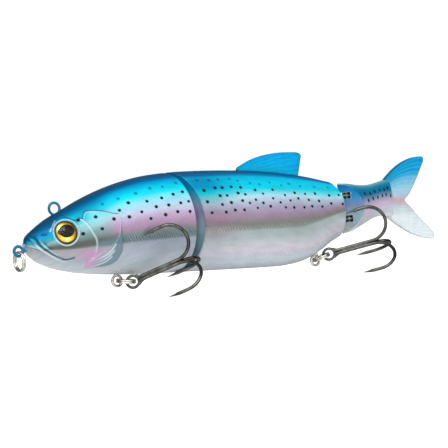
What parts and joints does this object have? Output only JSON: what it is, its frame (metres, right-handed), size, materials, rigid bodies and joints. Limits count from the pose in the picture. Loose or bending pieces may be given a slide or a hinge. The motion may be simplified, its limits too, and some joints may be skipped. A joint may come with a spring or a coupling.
{
  "type": "swimbait",
  "caption": "Jointed hard swimbait: three painted shell sections on vertical pin hinges, soft fins, wire line ties and treble hooks on split rings.",
  "frame": {"origin": "centre of the nose line tie's wire loop", "axes": "+X from the nose to the tail, +Z towards the back, +Y to the fish's right side"},
  "size_m": [0.1842, 0.0368, 0.047],
  "materials": {
    "painted_shell": "pearl paint under clear coat",
    "soft_fin": "translucent soft vinyl",
    "iris": "metallic gold film",
    "clear_lens": "clear domed resin",
    "painted_wire": "gloss paint over steel wire",
    "steel_wire": "stainless wire",
    "bright_ring": "bright nickel",
    "black_nickel": "black nickel",
    "weight_metal": "cast ballast"
  },
  "bodies": {
    "head": {"head_shell_left": "painted_shell", "head_shell_right": "painted_shell", "nose_line_tie": "painted_wire", "top_line_tie": "painted_wire", "front_hook_hanger": "steel_wire", "front_joint_eye_upper": "steel_wire", "front_joint_eye_lower": "steel_wire", "eye_left": "iris", "eye_right": "iris", "eye_lens_left": "clear_lens", "eye_lens_right": "clear_lens", "head_weight": "weight_metal"},
    "nose_ring": {"nose_split_ring": "bright_ring"},
    "front_ring": {"front_split_ring": "bright_ring"},
    "front_hook": {"front_treble_hook": "black_nickel"},
    "body": {"body_shell_left": "painted_shell", "body_shell_right": "painted_shell", "front_hinge_pin": "steel_wire", "front_pin_plug": "painted_shell", "body_weight_front": "weight_metal", "body_weight_rear": "weight_metal", "dorsal_fin": "soft_fin", "rear_hook_hanger": "steel_wire", "rear_joint_eye_upper": "steel_wire", "rear_joint_eye_lower": "steel_wire"},
    "rear_ring": {"rear_split_ring": "bright_ring"},
    "rear_hook": {"rear_treble_hook": "black_nickel"},
    "tail": {"tail_shell_left": "painted_shell", "tail_shell_right": "painted_shell", "rear_hinge_pin": "steel_wire", "rear_pin_plug": "painted_shell", "tail_fin": "soft_fin", "tail_fin_pin": "steel_wire"}
  },
  "joints": [
    {"name": "body_joint", "type": "hinge", "parent": "head", "child": "body", "pos_m": [0.0678, 0, 0], "axis": [0, 0, 1], "range_deg": [-15, 15]},
    {"name": "tail_joint", "type": "hinge", "parent": "body", "child": "tail", "pos_m": [0.1403, 0, 0], "axis": [0, 0, 1], "range_deg": [-45, 45]},
    {"name": "nose_ring_swing", "type": "hinge", "parent": "head", "child": "nose_ring", "pos_m": [0, 0, 0], "axis": [0, 1, 0], "range_deg": [-25, 140]},
    {"name": "front_ring_swing", "type": "hinge", "parent": "head", "child": "front_ring", "pos_m": [0.0364, 0, -0.0138], "axis": [0, 1, 0], "range_deg": [0, 75]},
    {"name": "front_hook_swing", "type": "hinge", "parent": "front_ring", "child": "front_hook", "pos_m": [0.04, -0.0043, -0.0147], "axis": [0.9579, 0.275, -0.083], "range_deg": [0, 50]},
    {"name": "rear_ring_swing", "type": "hinge", "parent": "body", "child": "rear_ring", "pos_m": [0.1222, 0, -0.0158], "axis": [0, 1, 0], "range_deg": [0, 75]},
    {"name": "rear_hook_swing", "type": "hinge", "parent": "rear_ring", "child": "rear_hook", "pos_m": [0.1273, -0.0021, -0.01415], "axis": [0.6824, 0.7232, 0.1064], "range_deg": [0, 50]}
  ]
}
